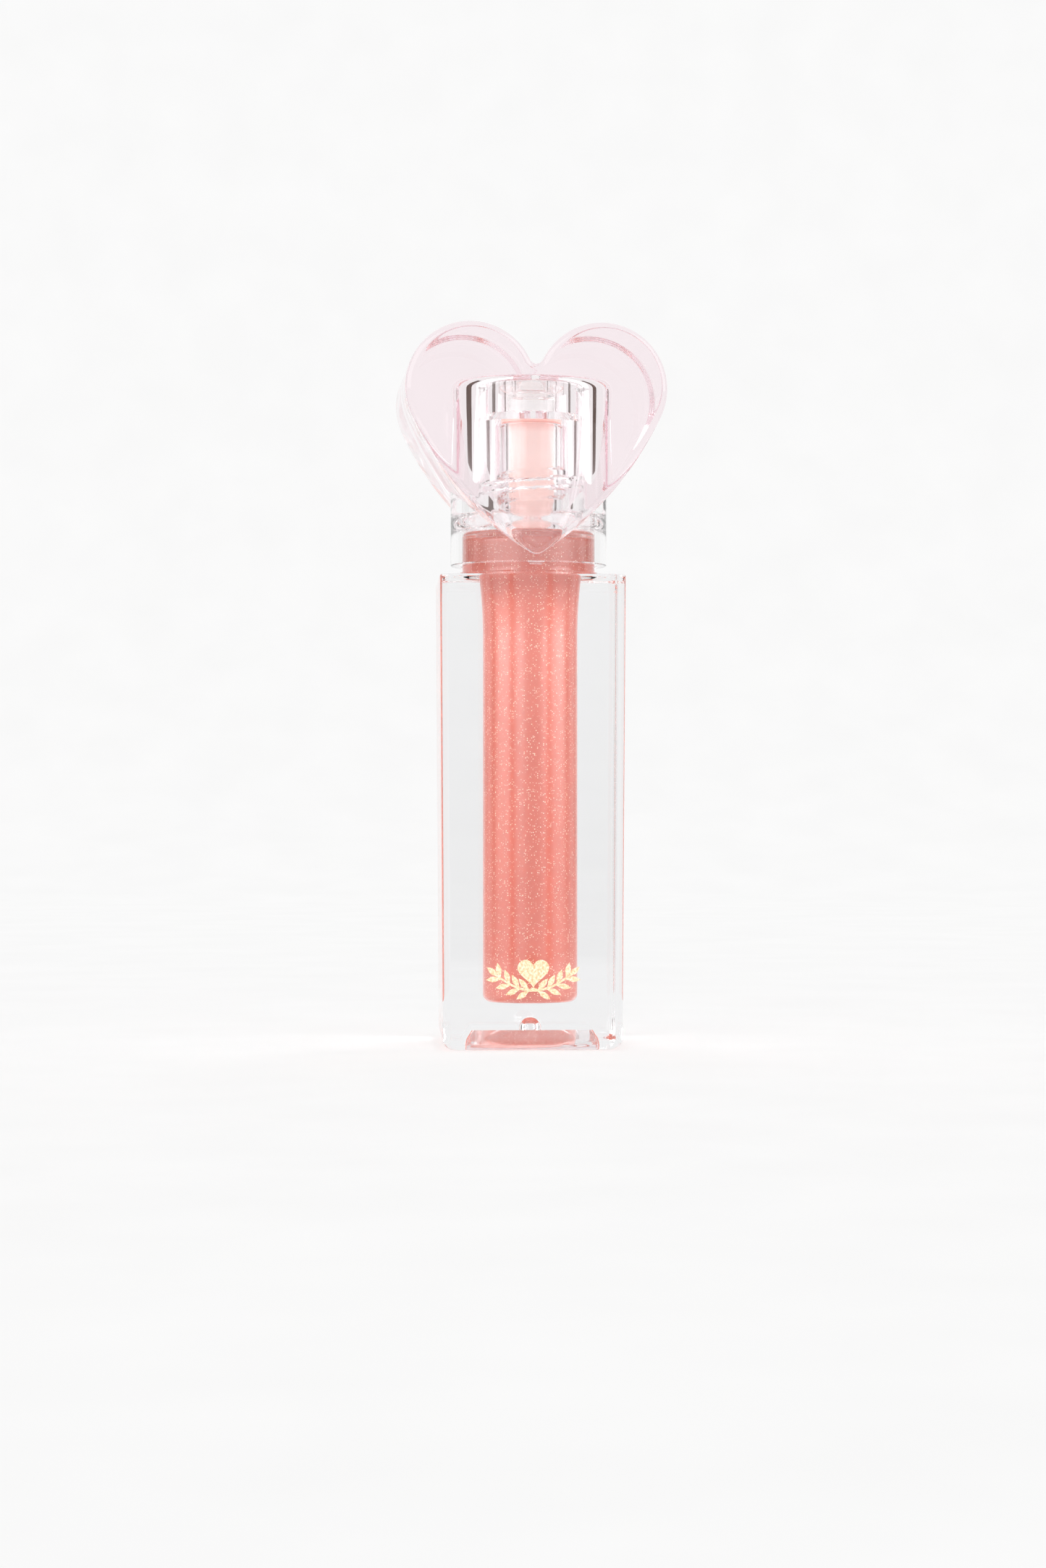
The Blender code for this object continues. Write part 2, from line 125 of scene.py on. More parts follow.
def banded(rings):
    """The same rings, with one more near each end of every long band, so its middle is shaded straight."""
    stack = [rings[0]]
    for low, high in zip(rings[:-1], rings[1:]):
        shares = np.linalg.norm(high - low, axis=1).mean() / (0.15 * MM)
        if shares > 6:
            stack += [low + (high - low) / shares, high - (high - low) / shares]
        stack.append(high)
    return np.asarray(stack)


def skin(name, rings, closed="capped", crease=32):
    """One closed surface through a stack of rings, where point k of each ring joins point k of the next:
    its two ends shrink to a middle point, or join each other when closed is "joined"."""
    rings = np.asarray(rings, float)
    if closed == "capped":
        first, last = (ring + (ring.mean(0) - ring) * 0.98 for ring in (rings[0], rings[-1]))
        rings = np.concatenate([first[None], rings, last[None]])
    rings = banded(rings)
    count, around = rings.shape[:2]
    points = rings.reshape(-1, 3)
    row = np.arange(count - 1 if closed == "capped" else count)[:, None]
    k = np.arange(around)[None, :]
    low, high = row * around, (row + 1) % count * around
    nxt = (k + 1) % around
    quads = np.stack([low + k, low + nxt, high + nxt, high + k], axis=-1).reshape(-1, 4)
    faces = quads.tolist()
    if closed == "capped":
        points = np.concatenate([points, rings[0].mean(0)[None], rings[-1].mean(0)[None]])
        first, last, tail = len(points) - 2, len(points) - 1, (count - 1) * around
        ring = np.arange(around)
        faces += np.stack([np.full(around, first), (ring + 1) % around, ring], axis=1).tolist()
        faces += np.stack([np.full(around, last), tail + ring, tail + (ring + 1) % around], axis=1).tolist()
    mesh = bpy.data.meshes.new(name)
    mesh.from_pydata(points.tolist(), [], faces)
    return finished(name, mesh, crease)


def finished(name, mesh, crease=32):
    """A mesh turned to face outwards, shaded smooth up to its creases, as an object at the origin."""
    mesh.update()
    mesh.validate()
    corners = np.zeros(len(mesh.vertices) * 3)
    mesh.vertices.foreach_get("co", corners)
    corners = corners.reshape(-1, 3)
    mesh.calc_loop_triangles()
    index = np.zeros(len(mesh.loop_triangles) * 3, int)
    mesh.loop_triangles.foreach_get("vertices", index)
    a, b, c = (corners[index.reshape(-1, 3)[:, i]] for i in range(3))
    if np.einsum("ij,ij->i", a, np.cross(b, c)).sum() < 0:
        mesh.flip_normals()
    mesh.shade_smooth()
    mesh.set_sharp_from_angle(angle=math.radians(crease))
    obj = bpy.data.objects.new(name, mesh)
    bpy.context.scene.collection.objects.link(obj)
    return obj


def ridge(z, way, start, turns, around=AROUND):
    """A thread's height round one ring: a smooth hump about the helix z = start + pitch times turns, faded
    out at both ends."""
    turn = np.arange(around) / around
    whole = np.clip(np.round((z - start) / PITCH - turn), 0, math.ceil(turns) - 1)
    off = np.abs(z - start - PITCH * (whole + turn))
    slope = np.clip((RIDGE_FOOT / 2 - off) / (RIDGE_FOOT - RIDGE_CREST) * 2, 0, 1)
    fade = np.clip(np.minimum(whole + turn, turns - whole - turn) / 0.1, 0, 1)
    return way * RIDGE * slope**2 * (3 - 2 * slope) * fade


def shader_of(name, colour, roughness):
    """A material's tree and its Principled shader, with the values that are the same all over."""
    look = bpy.data.materials.new(name)
    look.use_nodes = True
    tree = look.node_tree
    shader = tree.nodes["Principled BSDF"]
    shader.inputs["Base Color"].default_value = (*colour, 1.0)
    shader.inputs["Roughness"].default_value = roughness
    return look, tree, shader


def add(tree, kind, **values):
    """A node with its sockets set by name, spaces written as underscores."""
    node = tree.nodes.new(kind)
    for key, value in values.items():
        if hasattr(node, key):
            setattr(node, key, value)
        else:
            node.inputs[key.replace("_", " ")].default_value = value
    return node


def noise(tree, scale, detail=2.0, stretch=(1, 1, 1)):
    """Noise on the piece's own coordinates, scale in features per metre."""
    place = add(tree, "ShaderNodeTexCoord")
    mapping = add(tree, "ShaderNodeMapping", Scale=stretch)
    grain = add(tree, "ShaderNodeTexNoise", Scale=scale, Detail=detail)
    tree.links.new(place.outputs["Object"], mapping.inputs["Vector"])
    tree.links.new(mapping.outputs["Vector"], grain.inputs["Vector"])
    return grain


def ramp(tree, source, stops):
    """A colour ramp from (position, colour) stops."""
    node = add(tree, "ShaderNodeValToRGB")
    node.color_ramp.elements[0].position, node.color_ramp.elements[-1].position = stops[0][0], stops[-1][0]
    node.color_ramp.elements[0].color = (*stops[0][1], 1.0)
    node.color_ramp.elements[-1].color = (*stops[-1][1], 1.0)
    for position, colour in stops[1:-1]:
        node.color_ramp.elements.new(position).color = (*colour, 1.0)
    tree.links.new(source, node.inputs["Fac"])
    return node


def blend(tree, share, source, colour):
    """A pattern's colour that gives way to one other colour by a share from 0 to 1."""
    node = add(tree, "ShaderNodeMix", data_type="RGBA")
    factor, first, second = node.inputs[0], node.inputs[6], node.inputs[7]
    second.default_value = (*colour, 1.0)
    tree.links.new(share, factor)
    tree.links.new(source, first)
    return node.outputs[2]


def clear_plastic(name, colour, ior=1.5, wave=0.02, tint=None):
    """Polished clear plastic: full transmission, with the faint waviness that moulding leaves on its skin."""
    look, tree, shader = shader_of(name, colour, 0.0)
    shader.inputs["Transmission Weight"].default_value = 1.0
    shader.inputs["IOR"].default_value = ior
    flow = noise(tree, 90, 1.0, (1, 1, 0.35))
    skin_bump = add(tree, "ShaderNodeBump", Strength=wave, Distance=0.001)
    tree.links.new(flow.outputs["Fac"], skin_bump.inputs["Height"])
    tree.links.new(skin_bump.outputs["Normal"], shader.inputs["Normal"])
    if tint:
        depth = add(tree, "ShaderNodeVolumeAbsorption", Density=tint[1])
        depth.inputs["Color"].default_value = (*tint[0], 1.0)
        tree.links.new(depth.outputs["Volume"], tree.nodes["Material Output"].inputs["Volume"])
    return look


def thread_heights(start, turns):
    """The heights of the rings that carry a thread of so many turns, from just below it to just above it."""
    spare = RIDGE_FOOT / 2 + RIDGE_STEP / 2
    return np.arange(start - spare, start + turns * PITCH + spare + RIDGE_STEP / 2, RIDGE_STEP)


def chamber_wall(grow=0.0, steps=10):
    """The chamber's wall as (r, z), moved out by grow: the floor's rim, a straight run, a parabola that
    opens it, the roof's corner, and the foot of the neck's bore."""
    corner = CHAMBER_CORNER + grow
    z = np.linspace(FLARE_FOOT, BOTTLE_HEIGHT, steps + 1)
    r = CHAMBER + grow + FLARE * ((z - FLARE_FOOT) / (BOTTLE_HEIGHT - FLARE_FOOT)) ** 2
    floor = arc_points((CHAMBER + grow - corner, CHAMBER_FLOOR - grow + corner), corner, -90, 0, 10)
    roof_corner = (CHAMBER + FLARE - ROOF_CORNER, CHAMBER_ROOF - ROOF_CORNER)
    roof = arc_points(roof_corner, ROOF_CORNER + grow, 0, 90, 10)
    return np.concatenate([floor, np.stack([r, z], axis=1), roof, [(BORE + grow, CHAMBER_ROOF + grow)]])


foot = arc_points((FOOT, FOOT), FOOT, -90, -180, 12)
dome = np.radians(np.linspace(80, 0, 13))
rings = [round_ring(DIMPLE * math.cos(t), RECESS_TOP + DIMPLE_RISE * math.sin(t)) for t in dome]
rings += [square_ring(RECESS_HALF - RECESS_LEAN, RECESS_CORNER, RECESS_TOP)]
rings += [square_ring(RECESS_HALF, RECESS_CORNER, 0)]
rings += [square_ring(BASE_HALF + z * DRAFT - inset, EDGE, z) for inset, z in foot]
for inset, drop in arc_points((TOP_ROUND, -TOP_ROUND), TOP_ROUND, 180, 90, 6):
    rings.append(square_ring(BOTTLE_HALF - inset, EDGE, BOTTLE_HEIGHT + drop))
outside = [(PLINTH + PLINTH_ROUND, BOTTLE_HEIGHT), (PLINTH, BOTTLE_HEIGHT + 0.1 * MM)]
outside += [(PLINTH, PLINTH_TOP - PLINTH_ROUND), (PLINTH - PLINTH_ROUND, PLINTH_TOP), (SHOULDER, PLINTH_TOP)]
shoulder_centre = (SHOULDER - SHOULDER_ROUND, SHOULDER_TOP - SHOULDER_ROUND)
outside += arc_points(shoulder_centre, SHOULDER_ROUND, 0, 90, 10).tolist()
outside += [(NECK + 0.1 * MM, SHOULDER_TOP), (NECK, SHOULDER_TOP + 0.1 * MM)]
rings += [round_ring(r, z) for r, z in outside]
for z in thread_heights(RIDGE_START, NECK_TURNS):
    rings.append(round_ring(NECK + ridge(z, 1, RIDGE_START, NECK_TURNS), z))
lip = arc_points((NECK - LIP_ROUND, NECK_TOP - LIP_ROUND), LIP_ROUND, 0, 90, 6).tolist()
inside = [*lip, (BORE, NECK_TOP), *chamber_wall()[::-1].tolist()]
rings += [round_ring(r, z) for r, z in inside]
bottle = skin("clear_bottle", rings)
bottle.data.materials.append(clear_plastic("bottle_plastic", (0.917, 0.919, 0.925), 1.52))
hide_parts("bottle")
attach(bottle, "bottle")

# Foil print: a garland of leaves with a heart over its middle, hot-stamped low on the front face. The foil is
# pale gold, and breaks into fine specks where the stamp pressed unevenly.
FOIL_MIDDLE = 7.2 * MM
FOIL_REACH = 3.6 * MM
FOIL_SAG = 1.4 * MM
FOIL_STEM = 0.26 * MM
LEAF_LENGTH = 1.5 * MM
LEAF_WIDTH = 0.6 * MM
LEAF_ROOT = 0.24 * MM
LEAF_LEAN = math.radians(42)
FOIL_HEART = 3.4 * MM
FOIL_NEAR, FOIL_FAR = 0.02 * MM, 0.06 * MM


def stem_edge(x, side):
    """The stem's edge on one side at x, a parabola that sags in the middle."""
    return np.array([x, FOIL_MIDDLE + FOIL_SAG * ((x / FOIL_REACH) ** 2 - 0.5) + side * FOIL_STEM / 2])


def leaf_edge(near, far, lift):
    """A pointed leaf between two points of the stem: its half width at s along it is sin(pi s^0.9)^1.1."""
    lean = math.atan(FOIL_SAG * (near[0] + far[0]) / FOIL_REACH**2) + lift * LEAF_LEAN
    along = np.array([math.cos(lean), math.sin(lean)])
    across = np.array([-along[1], along[0]])
    across *= math.copysign(1.0, across @ (far - near))
    s = np.linspace(0.2, 1, 11)[:, None]
    half = LEAF_WIDTH / 2 * np.sin(np.pi * s**0.9) ** 1.1
    middle = (near + far) / 2 + along * s * LEAF_LENGTH
    return np.concatenate([near[None], middle - across * half, (middle + across * half)[-2::-1], far[None]])


def heart_edge():
    """The small heart on its point, right side first: x = 16 sin^3 t, and z = 13 cos t - 5 cos 2t - 2 cos 3t
    - cos 4t."""
    t = (np.pi - 0.25) * (1 - np.arange(61) / 30)
    x = 16 * np.sin(t) ** 3
    z = 13 * np.cos(t) - 5 * np.cos(2 * t) - 2 * np.cos(3 * t) - np.cos(4 * t) + 18
    return stem_edge(0.0, 1) + np.stack([x, z], axis=1) * FOIL_HEART / 32


half_root = LEAF_ROOT / 2
spots = FOIL_REACH * (np.arange(4) + 0.6) / 3.6
end_x = FOIL_REACH + LEAF_ROOT
lower = [leaf_edge(stem_edge(x - half_root, -1), stem_edge(x + half_root, -1), -1) for x in spots]
upper = [leaf_edge(stem_edge(x + half_root, 1), stem_edge(x - half_root, 1), 1) for x in spots[::-1]]
right_half = np.concatenate([*lower, leaf_edge(stem_edge(end_x, -1), stem_edge(end_x, 1), 0), *upper])
garland = np.concatenate([right_half, heart_edge(), right_half[::-1] * [-1, 1]])
sheets = []
for off in (FOIL_NEAR, FOIL_FAR):
    front = -(BASE_HALF + garland[:, 1] * DRAFT) - off
    sheets.append(np.stack([garland[:, 0], front, garland[:, 1]], axis=1))
count = len(garland)
k = np.arange(count)
sides = np.stack([k, (k + 1) % count, (k + 1) % count + count, k + count], axis=1).tolist()
foil_mesh = bpy.data.meshes.new("foil_garland")
foil_mesh.from_pydata(np.concatenate(sheets).tolist(), [], [*sides, k[::-1].tolist(), (k + count).tolist()])
foil = finished("foil_garland", foil_mesh)
foil_look, tree, shader = shader_of("speckled_foil", (0.93, 0.74, 0.5), 0.35)
shader.inputs["Metallic"].default_value = 0.55
speck = noise(tree, 4500, 3.0)
golds = [(0.35, (0.8, 0.5, 0.27)), (0.5, (0.95, 0.74, 0.48)), (0.68, (1.0, 0.93, 0.78))]
shades = ramp(tree, speck.outputs["Fac"], golds)
tree.links.new(shades.outputs["Color"], shader.inputs["Base Color"])
crinkle = add(tree, "ShaderNodeBump", Strength=0.5, Distance=0.0001)
tree.links.new(speck.outputs["Fac"], crinkle.inputs["Height"])
tree.links.new(crinkle.outputs["Normal"], shader.inputs["Normal"])
foil.data.materials.append(foil_look)
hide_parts("foil_print")
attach(foil, "bottle")

# Gloss: the coral liquid that fills the chamber and wets its wall, full of fine pearl and gold shimmer. Its
# skin and the plastic overlap by a hair, so no air shows between them, and a channel takes the wand.
CONTACT = 0.02 * MM
CHANNEL = 2.4 * MM
CHANNEL_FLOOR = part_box("applicator_tip")[0].z - 0.4 * MM
GLOSS_TOP = SHOULDER_TOP + 0.2 * MM

body = chamber_wall(CONTACT).tolist()
body += [(BORE + CONTACT, GLOSS_TOP), (CHANNEL, GLOSS_TOP), (CHANNEL, CHANNEL_FLOOR)]
gloss = skin("coral_gloss", [round_ring(r, z) for r, z in body])
gloss_look, tree, shader = shader_of("pearly_gloss", (0.55, 0.1, 0.06), 0.25)
shader.inputs["Specular IOR Level"].default_value = 1.0
shader.inputs["IOR"].default_value = 1.86
shader.inputs["Sheen Weight"].default_value = 0.8
shader.inputs["Sheen Roughness"].default_value = 0.4
swirl = noise(tree, 160, 3.0, (1, 1, 0.5))
tone = ramp(tree, swirl.outputs["Fac"], [(0.3, (0.53, 0.092, 0.05)), (0.7, (0.58, 0.115, 0.066))])
place = add(tree, "ShaderNodeTexCoord")
shimmer = add(tree, "ShaderNodeTexVoronoi", Scale=6200.0, Randomness=1.0)
tree.links.new(place.outputs["Object"], shimmer.inputs["Vector"])
flake = ramp(tree, shimmer.outputs["Distance"], [(0.22, (1, 1, 1)), (0.42, (0, 0, 0))])
pick = add(tree, "ShaderNodeSeparateColor")
tree.links.new(shimmer.outputs["Color"], pick.inputs["Color"])
few = ramp(tree, pick.outputs["Red"], [(0.66, (0, 0, 0)), (0.9, (1, 1, 1))])
bright = add(tree, "ShaderNodeMath", operation="MULTIPLY")
tree.links.new(flake.outputs["Color"], bright.inputs[0])
tree.links.new(few.outputs["Color"], bright.inputs[1])
mix = blend(tree, bright.outputs["Value"], tone.outputs["Color"], (1.0, 0.8, 0.62))
# The gloss also glows faintly in its own colours. This is painted light, which lifts the parts that the
# bottle's roof and shoulder shade.
for socket in ("Base Color", "Emission Color"):
    tree.links.new(mix, shader.inputs[socket])
shader.inputs["Emission Strength"].default_value = 0.18
gloss.data.materials.append(gloss_look)
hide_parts("gloss_fill")
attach(gloss, "bottle")

# Wiper: a soft milky sleeve pressed into the neck, with a flange on the rim and a lip that scrapes the
# wand. A film of gloss stains it, most of all its flange.
FLANGE_LOW, FLANGE_TOP = NECK_TOP + 0.1 * MM, NECK_TOP + 0.6 * MM
WIPER_FOOT = FLANGE_TOP - 11.2 * MM
WIPER_BORE = 3.0 * MM
SLEEVE = 3.7 * MM
LIP_BORE = 2.2 * MM
FLANGE = 4.9 * MM
EASE = 0.1 * MM
CONE = 2.2 * MM
LIP_WALL = 0.35 * MM


def climb(tree, low, high, start=0.0, end=1.0):
    """A value that goes from start to end between two heights on the piece."""
    place = add(tree, "ShaderNodeTexCoord")
    height = add(tree, "ShaderNodeSeparateXYZ")
    node = add(tree, "ShaderNodeMapRange", From_Min=low, From_Max=high, To_Min=start, To_Max=end)
    tree.links.new(place.outputs["Object"], height.inputs["Vector"])
    tree.links.new(height.outputs["Z"], node.inputs["Value"])
    return node.outputs["Result"]


def milky(name, colour, scale):
    """Soft translucent plastic: a cloudy colour and a dull skin that lets some light through. It gives the
    material, its tree, its shader and the cloudy colour's socket."""
    look, tree, shader = shader_of(name, colour, 0.38)
    shader.inputs["Subsurface Weight"].default_value = 0.3
    shader.inputs["Subsurface Radius"].default_value = (0.002, 0.001, 0.0008)
    shader.inputs["Subsurface Scale"].default_value = 1.0
    cloud = noise(tree, scale, 3.0)
    dark = tuple(c * 0.93 for c in colour)
    shades = ramp(tree, cloud.outputs["Fac"], [(0.3, dark), (0.7, colour)]).outputs["Color"]
    tree.links.new(shades, shader.inputs["Base Color"])
    return look, tree, shader, shades


profile = [(WIPER_BORE, FLANGE_TOP), (FLANGE - EASE, FLANGE_TOP), (FLANGE, FLANGE_TOP - EASE)]
profile += [(FLANGE, FLANGE_LOW + EASE), (FLANGE - EASE, FLANGE_LOW), (SLEEVE, FLANGE_LOW)]
profile += [(SLEEVE, WIPER_FOOT + CONE), (LIP_BORE + LIP_WALL, WIPER_FOOT), (LIP_BORE, WIPER_FOOT)]
profile += [(LIP_BORE, WIPER_FOOT + LIP_WALL), (WIPER_BORE, WIPER_FOOT + CONE + LIP_WALL)]
wiper = skin("wiper_sleeve", [round_ring(r, z, 96) for r, z in profile], "joined")
wiper_look, tree, shader, shades = milky("stained_wiper", (0.9, 0.68, 0.63), 400)
stain = climb(tree, FLANGE_TOP - 1.6 * MM, FLANGE_TOP - 0.3 * MM)
coral = blend(tree, stain, shades, (0.9, 0.46, 0.4))
# The wiper also glows faintly in its own stained colours. This is painted light, standing in for the soft
# boxes' light, which does not reach it.
for socket in ("Base Color", "Emission Color"):
    tree.links.new(coral, shader.inputs[socket])
shader.inputs["Emission Strength"].default_value = 0.3
wiper.data.materials.append(wiper_look)
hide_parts("wiper")
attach(wiper, "bottle")

# Seal washer: punched from soft foam sheet, it lies between the wiper's flange and the wand's head, where the
# screwed cap presses on it. The wand's stem goes through it and carries it along.
SEAL_LOW, SEAL_TOP = (corner.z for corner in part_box("seal_washer"))
SEAL = 4.95 * MM
STEM = 1.6 * MM
SEAL_BORE = STEM + 0.2 * MM
profile = [(SEAL_BORE, SEAL_LOW), (SEAL - EASE, SEAL_LOW), (SEAL, SEAL_LOW + EASE)]
profile += [(SEAL, SEAL_TOP - EASE), (SEAL - EASE, SEAL_TOP), (SEAL_BORE, SEAL_TOP)]
seal = skin("foam_seal", [round_ring(r, z, 96) for r, z in profile], "joined")
seal.data.materials.append(milky("foam_sheet", (0.95, 0.9, 0.89), 1500)[0])
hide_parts("seal_washer")
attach(seal, "seal")

# Wand: a clear moulded stem with a head and a plug that the cap's socket ring holds, and at its foot a thin
# spigot for the tip.
WAND_LOW, WAND_TOP = (corner.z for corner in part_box("wand_stem"))
HEAD_LOW = SEAL_TOP + 0.1 * MM
HEAD_TOP = WAND_TOP - 0.7 * MM
TIP_LOW, TIP_TOP = (corner.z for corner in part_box("applicator_tip"))
PLUG, HEAD, SPIGOT = 2.4 * MM, 3.9 * MM, 0.9 * MM
WAND_ROUND = 0.15 * MM
STEM_LOW = TIP_TOP + 0.1 * MM
profile = [(PLUG - WAND_ROUND, WAND_TOP), (PLUG, WAND_TOP - WAND_ROUND), (PLUG, HEAD_TOP)]
profile += [(HEAD - WAND_ROUND, HEAD_TOP), (HEAD, HEAD_TOP - WAND_ROUND), (HEAD, HEAD_LOW + EASE)]
profile += [(HEAD - EASE, HEAD_LOW), (STEM, HEAD_LOW)]
profile += [(STEM, STEM_LOW), (SPIGOT, STEM_LOW), (SPIGOT, WAND_LOW)]
wand = skin("wand", [round_ring(r, z, 128) for r, z in profile])
wand.data.materials.append(clear_plastic("wand_plastic", (0.98, 0.96, 0.955), 1.49))
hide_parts("wand_stem")
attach(wand, "cap")

# Applicator tip: a soft doe foot with one slanted flat, pushed on the wand's spigot and covered in short
# white flock that the gloss has stained.
TIP_HALF = 2.0 * MM
TIP_END = 0.35 * MM
TIP_SLANT = math.radians(18)
SOCKET, SOCKET_DEPTH = 1.0 * MM, 4.2 * MM
rows = 60
down = np.linspace(0, 1, rows)
z = TIP_TOP - (TIP_TOP - TIP_LOW) * down
shoulder_taper = np.clip((TIP_TOP - z) / TIP_HALF, 0, 1)
end = np.clip((z - TIP_LOW) / TIP_HALF, 0, 1)
nose = TIP_HALF * np.sqrt(np.clip(1 - (1 - end) ** 2, 0.0, 1))
r = np.maximum(np.minimum(STEM + (TIP_HALF - STEM) * shoulder_taper, nose), TIP_END)
flat = -TIP_HALF + np.maximum(0, TIP_LOW + (TIP_TOP - TIP_LOW) * 0.6 - z) * math.tan(TIP_SLANT)
tip_rings = []
for radius, height, cut in zip(r, z, flat):
    ring = round_ring(radius, height, 96)
    level = min(cut, radius * 0.5)
    ring[:, 1] = np.where(ring[:, 1] < level, level, ring[:, 1])
    tip_rings.append(ring)
socket = [round_ring(SOCKET, z, 96) for z in (TIP_TOP - SOCKET_DEPTH, TIP_TOP)]
tip = skin("flocked_tip", socket + tip_rings, crease=50)
flock, tree, shader = shader_of("stained_flock", (0.94, 0.84, 0.80), 0.95)
shader.inputs["Sheen Weight"].default_value = 0.6
fibres = noise(tree, 9000, 2.0)
stain = noise(tree, 300, 2.0)
shades = ramp(tree, stain.outputs["Fac"], [(0.35, (0.93, 0.72, 0.66)), (0.65, (0.96, 0.9, 0.87))])
tree.links.new(shades.outputs["Color"], shader.inputs["Base Color"])
nap = add(tree, "ShaderNodeBump", Strength=0.8, Distance=0.0002)
tree.links.new(fibres.outputs["Fac"], nap.inputs["Height"])
tree.links.new(nap.outputs["Normal"], shader.inputs["Normal"])
tip.data.materials.append(flock)
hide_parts("applicator_tip")
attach(tip, "cap")

# Inner cap: a clear moulded screw cap with one turn of thread inside, a ring under its roof that grips the
# wand, and a small tab under its rim that lines the heart up with the bottle's front.
CAP = 8.6 * MM
CAP_LOW = PLINTH_TOP + 0.95 * MM
CAP_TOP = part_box("inner_cap")[1].z
CEILING = CAP_TOP - 0.6 * MM
CAP_CORNER = 1.3 * MM
COLLAR_BORE = SHOULDER + 0.2 * MM
THREAD_BORE = NECK + 2 * RIDGE + 0.1 * MM
TAPER_FOOT, TAPER = SHOULDER_TOP - 0.2 * MM, 2.4 * MM
CAP_TURNS = 1.0
CROWN_BORE = NECK + 0.2 * MM
CAP_ANGLE = math.radians(2.4)
SOCKET_OUT, SOCKET_IN = 3.5 * MM, 2.6 * MM
SOCKET_LOW = HEAD_TOP + 0.2 * MM
RIM_ROUND = 0.08 * MM
TAB_HALF, TAB_SLOPE, TAB_DROP = 1.05 * MM, 0.35 * MM, 0.35 * MM
profile = arc_points((CAP - CAP_CORNER, CAP_TOP - CAP_CORNER), CAP_CORNER, 90, 0, 14).tolist()
profile += [(CAP, CAP_LOW + RIM_ROUND), (CAP - RIM_ROUND, CAP_LOW)]
profile += [(COLLAR_BORE + RIM_ROUND, CAP_LOW), (COLLAR_BORE, CAP_LOW + RIM_ROUND)]
rings = [round_ring(r, z) for r, z in profile]
for t in np.linspace(0, 1, 17):
    eased = t * t * (3 - 2 * t)
    rings.append(round_ring(COLLAR_BORE - (COLLAR_BORE - THREAD_BORE) * eased, TAPER_FOOT + TAPER * t))
cap_start = RIDGE_START + PITCH / 2
for z in thread_heights(cap_start, CAP_TURNS):
    rings.append(round_ring(THREAD_BORE + ridge(z, -1, cap_start, CAP_TURNS), z))
crown_foot = NECK_TOP + 0.2 * MM
crown_step = THREAD_BORE - CROWN_BORE
profile = [(THREAD_BORE, crown_foot), (CROWN_BORE, crown_foot + crown_step), (CROWN_BORE, CEILING)]
profile += [(SOCKET_OUT, CEILING), (SOCKET_OUT, SOCKET_LOW), (SOCKET_IN, SOCKET_LOW), (SOCKET_IN, CEILING)]
rings += [round_ring(r, z) for r, z in profile]
rings = np.asarray(rings)
turned = 2 * np.pi * np.arange(AROUND) / AROUND
spread = np.abs((turned - 1.5 * np.pi) * CAP)
tab = np.clip((TAB_HALF - spread) / TAB_SLOPE, 0, 1) * TAB_DROP
near_rim = (rings[:, :, 2] < CAP_LOW + 0.1 * MM) & (np.hypot(rings[:, :, 0], rings[:, :, 1]) > 8.0 * MM)
rings[:, :, 2] -= np.where(near_rim, tab[None, :], 0)


def closed_turn(points):
    """Points turned about the tube's axis to where the closed cap stops."""
    c, s = math.cos(CAP_ANGLE), math.sin(CAP_ANGLE)
    return points @ np.array([[c, s, 0], [-s, c, 0], [0, 0, 1]])


inner_cap = skin("screw_cap", closed_turn(rings))
inner_cap.data.materials.append(clear_plastic("cap_plastic", (0.985, 0.985, 0.985), 1.5))
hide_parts("inner_cap")
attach(inner_cap, "cap")

# Heart: a solid casting of very pale pink acrylic, polished, with rounded front and back edges, and a pocket
# bored from below in which the screw cap is glued.
HEART_DEPTH = 20.0 * MM
LOBE = 7.05 * MM
SPREAD = 7.1 * MM
NOTCH = 0.8 * MM
POINT = 1.3 * MM
FLANK = math.radians(25)
HEART_HEIGHT = 24.95 * MM
HEART_EDGE = 0.8 * MM
POCKET = CAP + 0.2 * MM
POCKET_TOP = CAP_TOP + 0.2 * MM
NOTCH_RISE = math.sqrt((LOBE + NOTCH) ** 2 - SPREAD**2) - NOTCH


def heart_outline(inset, fine):
    """Half a heart of four touching arcs, the tip, flank, lobe and notch, each moved in by inset, with its
    mirror image."""
    lobe_z = POCKET_TOP + 1.0 * MM - NOTCH_RISE
    rise = HEART_HEIGHT - LOBE - POINT
    c, s = math.cos(FLANK), math.sin(FLANK)
    spare = LOBE - POINT
    shift = (SPREAD**2 + rise**2 - spare**2) / (2 * (SPREAD * c - rise * s + spare))
    flank = (SPREAD - shift * c, lobe_z + shift * s)
    meet = math.asin(flank[0] / (LOBE + shift - POINT))
    notch = (0.0, lobe_z + NOTCH_RISE + NOTCH)
    notch_turn = math.asin(SPREAD / (LOBE + NOTCH))
    arcs = [
        ((0.0, lobe_z - rise), POINT - inset, -np.pi / 2, -np.pi / 2 - meet, fine // 2),
        (flank, LOBE + shift - inset, -np.pi / 2 - meet, -FLANK, fine),
        ((SPREAD, lobe_z), LOBE - inset, -FLANK, np.pi / 2 + notch_turn, 3 * fine),
        (notch, NOTCH + inset, -np.pi / 2 + notch_turn, -np.pi / 2, fine // 2 + 1),
    ]
    half = []
    for centre, radius, start, end, steps in arcs:
        spans = steps if steps != fine // 2 + 1 else steps - 1
        t = start + (end - start) * np.arange(steps) / spans
        half.append(np.stack([centre[0] + radius * np.cos(t), centre[1] + radius * np.sin(t)], axis=1))
    half = np.concatenate(half)
    return np.concatenate([half, half[-2:0:-1] * [-1, 1]])


